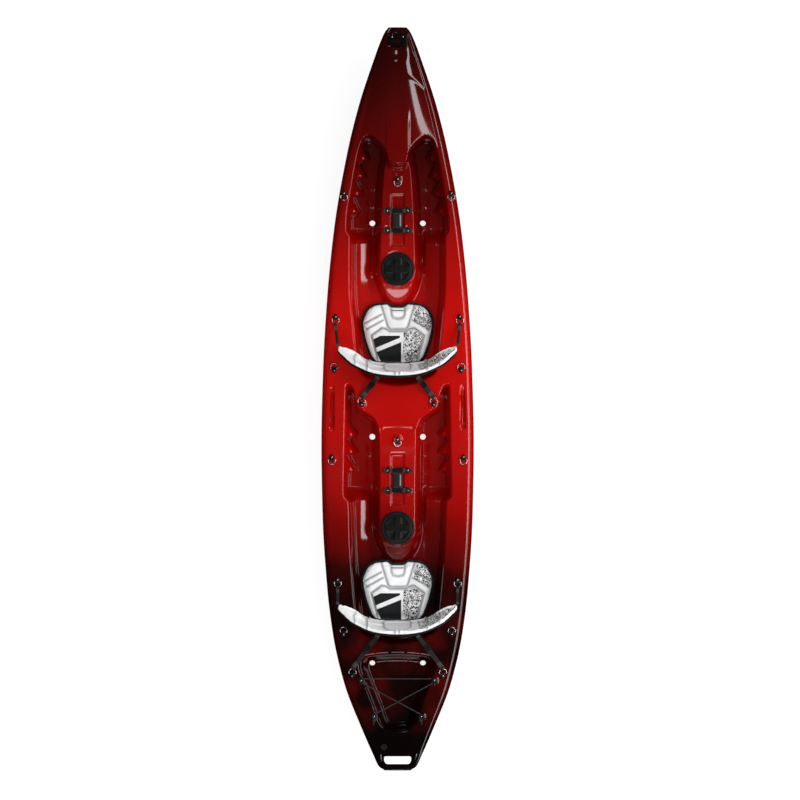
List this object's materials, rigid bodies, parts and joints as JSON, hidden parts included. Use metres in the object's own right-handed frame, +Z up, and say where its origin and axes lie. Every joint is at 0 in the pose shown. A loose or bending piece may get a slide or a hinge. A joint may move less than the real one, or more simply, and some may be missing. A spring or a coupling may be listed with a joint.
{
  "type": "kayak",
  "caption": "Tandem sit-on-top kayak: hollow moulded hull with footwells and tank well, padded seats with reclining backrests, round screw hatches, pad eyes and self-draining holes.",
  "frame": {"origin": "on the keel's flat land, midway between bow and stern on the centreline", "axes": "+Y to the bow, +X to starboard, +Z up"},
  "size_m": [0.7638, 3.712, 0.4719],
  "materials": {
    "hull_plastic": "glossy moulded polyethylene, red fading to black at both ends",
    "foam": "closed-cell foam",
    "black_nylon": "moulded nylon",
    "steel": "stainless",
    "webbing": "woven webbing",
    "seat_fabric": "padded fabric",
    "seal_rubber": "moulded seal",
    "bungee": "braided sheath",
    "handle_rubber": "moulded grip",
    "plug_plastic": "moulded plug"
  },
  "bodies": {
    "hull": {"hull_shell": "hull_plastic", "foam_block_bow": "foam", "foam_block_stern": "foam", "eye_lugs": "black_nylon", "eye_screws": "steel", "strap_rings": "steel", "hatch_front_rim": "black_nylon", "hatch_front_screws": "steel", "hatch_rear_rim": "black_nylon", "hatch_rear_screws": "steel", "drain_collar": "black_nylon", "bungee_buttons": "black_nylon", "button_screws": "steel", "bungee_cord": "bungee", "retainer_lugs": "black_nylon", "retainer_screws": "steel", "retainer_sliders": "black_nylon", "retainer_front_straps": "webbing", "retainer_front_panel": "webbing", "retainer_rear_straps": "webbing", "retainer_rear_panel": "webbing", "bow_handle": "handle_rubber", "bow_handle_screws": "steel", "seat_front_pad": "seat_fabric", "seat_front_side_straps": "webbing", "seat_front_back_straps": "webbing", "seat_front_buckles": "black_nylon", "seat_rear_pad": "seat_fabric", "seat_rear_side_straps": "webbing", "seat_rear_back_straps": "webbing", "seat_rear_buckles": "black_nylon"},
    "ring_console_front": {"ring_console_front": "steel"},
    "ring_console_rear": {"ring_console_rear": "steel"},
    "ring_bow_port": {"ring_bow_port": "steel"},
    "ring_bow_starboard": {"ring_bow_starboard": "steel"},
    "ring_mid_port": {"ring_mid_port": "steel"},
    "ring_mid_starboard": {"ring_mid_starboard": "steel"},
    "ring_wing_front_port": {"ring_wing_front_port": "steel"},
    "ring_wing_front_starboard": {"ring_wing_front_starboard": "steel"},
    "ring_wing_rear_port": {"ring_wing_rear_port": "steel"},
    "ring_wing_rear_starboard": {"ring_wing_rear_starboard": "steel"},
    "hatch_front_seal": {"hatch_front_seal": "seal_rubber"},
    "hatch_front_lid": {"hatch_front_lid": "black_nylon"},
    "hatch_rear_seal": {"hatch_rear_seal": "seal_rubber"},
    "hatch_rear_lid": {"hatch_rear_lid": "black_nylon"},
    "drain_seal": {"drain_seal": "seal_rubber"},
    "drain_plug": {"drain_plug": "plug_plastic"},
    "backrest_front": {"seat_front_backrest": "seat_fabric", "seat_front_back_board": "black_nylon"},
    "backrest_rear": {"seat_rear_backrest": "seat_fabric", "seat_rear_back_board": "black_nylon"}
  },
  "joints": [
    {"name": "ring_console_front_swing", "type": "hinge", "parent": "hull", "child": "ring_console_front", "pos_m": [0, 1.08935, 0.26972], "axis": [-1, 0, 0], "range_deg": [0, 140]},
    {"name": "ring_console_rear_swing", "type": "hinge", "parent": "hull", "child": "ring_console_rear", "pos_m": [0, -0.2138, 0.2894], "axis": [-1, 0, 0], "range_deg": [0, 140]},
    {"name": "ring_bow_port_swing", "type": "hinge", "parent": "hull", "child": "ring_bow_port", "pos_m": [-0.268, 1.01768, 0.32284], "axis": [-1, 0, 0], "range_deg": [0, 140]},
    {"name": "ring_bow_starboard_swing", "type": "hinge", "parent": "hull", "child": "ring_bow_starboard", "pos_m": [0.268, 1.01768, 0.32284], "axis": [-1, 0, 0], "range_deg": [0, 140]},
    {"name": "ring_mid_port_swing", "type": "hinge", "parent": "hull", "child": "ring_mid_port", "pos_m": [-0.32949, -0.302, 0.2989], "axis": [-0.9964, 0, -0.0852], "range_deg": [0, 140]},
    {"name": "ring_mid_starboard_swing", "type": "hinge", "parent": "hull", "child": "ring_mid_starboard", "pos_m": [0.32949, -0.302, 0.2989], "axis": [-0.9964, 0, 0.0852], "range_deg": [0, 140]},
    {"name": "ring_wing_front_port_swing", "type": "hinge", "parent": "hull", "child": "ring_wing_front_port", "pos_m": [-0.31753, 0.156, 0.29963], "axis": [0.9956, 0, 0.0932], "range_deg": [0, 140]},
    {"name": "ring_wing_front_starboard_swing", "type": "hinge", "parent": "hull", "child": "ring_wing_front_starboard", "pos_m": [0.31753, 0.156, 0.29963], "axis": [0.9956, 0, -0.0932], "range_deg": [0, 140]},
    {"name": "ring_wing_rear_port_swing", "type": "hinge", "parent": "hull", "child": "ring_wing_rear_port", "pos_m": [-0.27055, -1.163, 0.30354], "axis": [0.9953, 0, 0.0966], "range_deg": [0, 140]},
    {"name": "ring_wing_rear_starboard_swing", "type": "hinge", "parent": "hull", "child": "ring_wing_rear_starboard", "pos_m": [0.27055, -1.163, 0.30354], "axis": [0.9953, 0, -0.0966], "range_deg": [0, 140]},
    {"name": "hatch_front_lift", "type": "slide", "parent": "hull", "child": "hatch_front_seal", "axis": [0, 0, 1], "range_m": [0, 0.15]},
    {"name": "hatch_front_turn", "type": "hinge", "parent": "hatch_front_seal", "child": "hatch_front_lid", "pos_m": [0, 0.651, 0.256], "axis": [0, 0, 1], "range_deg": [0, 90]},
    {"name": "hatch_rear_lift", "type": "slide", "parent": "hull", "child": "hatch_rear_seal", "axis": [0, 0, 1], "range_m": [0, 0.15]},
    {"name": "hatch_rear_turn", "type": "hinge", "parent": "hatch_rear_seal", "child": "hatch_rear_lid", "pos_m": [0, -0.645, 0.256], "axis": [0, 0, 1], "range_deg": [0, 90]},
    {"name": "drain_lift", "type": "slide", "parent": "hull", "child": "drain_seal", "axis": [0, 0, 1], "range_m": [0, 0.0091]},
    {"name": "drain_turn", "type": "hinge", "parent": "drain_seal", "child": "drain_plug", "pos_m": [-0.069, -1.739, 0.31703], "axis": [0, 0, 1], "range_deg": [0, 1080]},
    {"name": "backrest_front_recline", "type": "hinge", "parent": "hull", "child": "backrest_front", "pos_m": [0, 0.157, 0.2], "axis": [1, 0, 0], "range_deg": [-10, 10], "deforming": ["seat_front_side_straps", "seat_front_back_straps", "seat_front_buckles"]},
    {"name": "backrest_rear_recline", "type": "hinge", "parent": "hull", "child": "backrest_rear", "pos_m": [0, -1.133, 0.2], "axis": [1, 0, 0], "range_deg": [-10, 10], "deforming": ["seat_rear_side_straps", "seat_rear_back_straps", "seat_rear_buckles"]}
  ],
  "couplings": [
    {"joint": "drain_lift", "follows": "drain_turn", "m_per_rad": 0.00047746}
  ]
}
